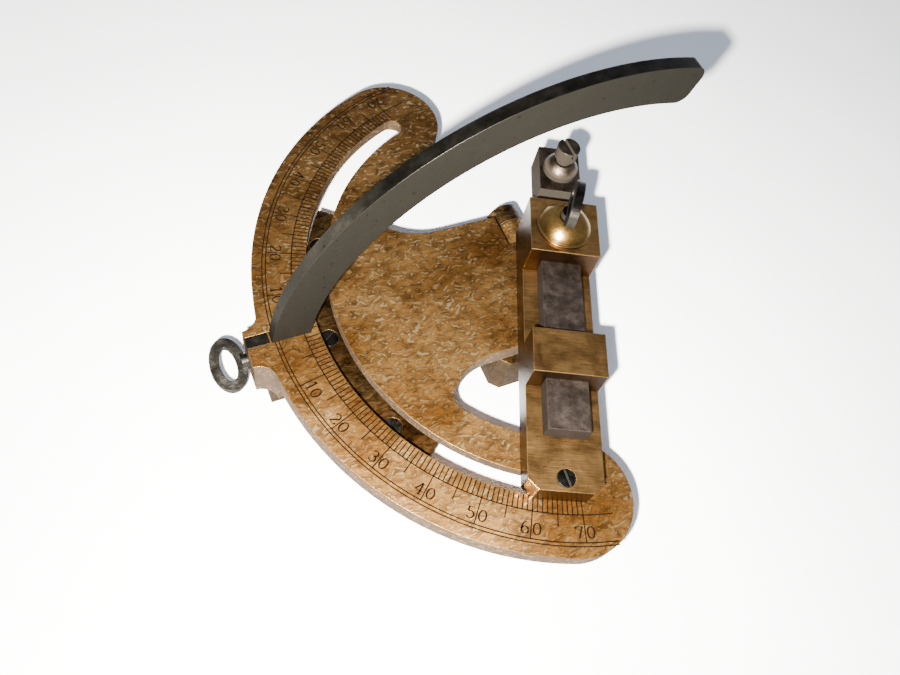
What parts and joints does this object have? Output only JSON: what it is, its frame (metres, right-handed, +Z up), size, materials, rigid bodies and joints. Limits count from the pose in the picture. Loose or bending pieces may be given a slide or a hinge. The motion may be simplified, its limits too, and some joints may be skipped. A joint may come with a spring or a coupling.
{
  "type": "bevel protractor",
  "caption": "Brass divided sector hinged on a low frame, with a steel quadrant blade, a swinging arm, a sliding bar and ring-headed clamp screws.",
  "frame": {"origin": "on the table, under the arm's pivot on the sector", "axes": "-X runs along the sector's zero line to the lug, +Z is up, +Y completes the set and is parallel to the hinge"},
  "size_m": [0.1011, 0.1374, 0.0812],
  "materials": {
    "frosted_brass": "curled scraping, aged",
    "old_brass": "cast and filed, tarnished",
    "brushed_brass": "straight grained, aged",
    "polished_brass": "polished",
    "blade_steel": "worn bright steel",
    "bar_steel": "pitted grey steel",
    "dark_steel": "browned steel",
    "screw_steel": "dark worn steel"
  },
  "bodies": {
    "frame": {"base_frame": "old_brass", "arc_bar": "old_brass", "upper_foot": "old_brass", "lower_foot": "old_brass", "bar_screws": "screw_steel", "foot_screws": "screw_steel", "blade_screws": "screw_steel", "hinge_pin": "screw_steel", "quadrant_blade": "blade_steel"},
    "sector": {"sector_plate": "frosted_brass", "lug_key": "bar_steel", "pivot_stud": "screw_steel"},
    "lug_pad": {"lug_pad": "old_brass"},
    "lug_screw": {"lug_screw": "screw_steel"},
    "arm": {"arm": "brushed_brass", "strap_box": "brushed_brass", "clamp_box": "brushed_brass", "box_screws": "screw_steel", "domed_boss": "polished_brass", "slot_shoe": "brushed_brass", "index_screw": "screw_steel"},
    "clamp_pad": {"clamp_pad": "screw_steel"},
    "thumb_screw": {"thumb_screw": "screw_steel"},
    "bar": {"tool_bar": "bar_steel"},
    "stop": {"end_block": "dark_steel", "block_collar": "dark_steel"},
    "block_screw": {"block_screw": "dark_steel"}
  },
  "joints": [
    {"name": "incline", "type": "hinge", "parent": "frame", "child": "sector", "pos_m": [-0.0006, 0, 0.0106], "axis": [0, 1, 0], "range_deg": [0, 90]},
    {"name": "arm_swing", "type": "hinge", "parent": "sector", "child": "arm", "pos_m": [0, 0, 0.0185], "axis": [0, 0, 1], "range_deg": [-133.3, 2.7]},
    {"name": "bar_slide", "type": "slide", "parent": "arm", "child": "bar", "axis": [-0.4179, -0.9085, 0], "range_m": [-0.02, 0.0041]},
    {"name": "stop_slide", "type": "slide", "parent": "bar", "child": "stop", "axis": [-0.4179, -0.9085, 0], "range_m": [-0.006, 0]},
    {"name": "stop_screw_turn", "type": "hinge", "parent": "stop", "child": "block_screw", "pos_m": [0.00863, 0.01876, 0.03], "axis": [0, 0, 1], "range_deg": [0, 360]},
    {"name": "clamp_pad_lift", "type": "slide", "parent": "arm", "child": "clamp_pad", "axis": [0, 0, 1], "range_m": [0, 0.0015]},
    {"name": "thumb_turn", "type": "hinge", "parent": "clamp_pad", "child": "thumb_screw", "pos_m": [0.00084, 0.00182, 0.03], "axis": [0, 0, 1], "range_deg": [0, 540]},
    {"name": "lug_pad_draw", "type": "slide", "parent": "sector", "child": "lug_pad", "axis": [-1, 0, 0], "range_m": [0, 0.0015]},
    {"name": "lug_screw_turn", "type": "hinge", "parent": "lug_pad", "child": "lug_screw", "pos_m": [-0.0764, 0.00145, 0.0106], "axis": [-1, 0, 0], "range_deg": [0, 540]}
  ],
  "couplings": [
    {"joint": "thumb_turn", "follows": "clamp_pad_lift", "rad_per_m": 6283.2},
    {"joint": "lug_screw_turn", "follows": "lug_pad_draw", "rad_per_m": 6283.2}
  ]
}
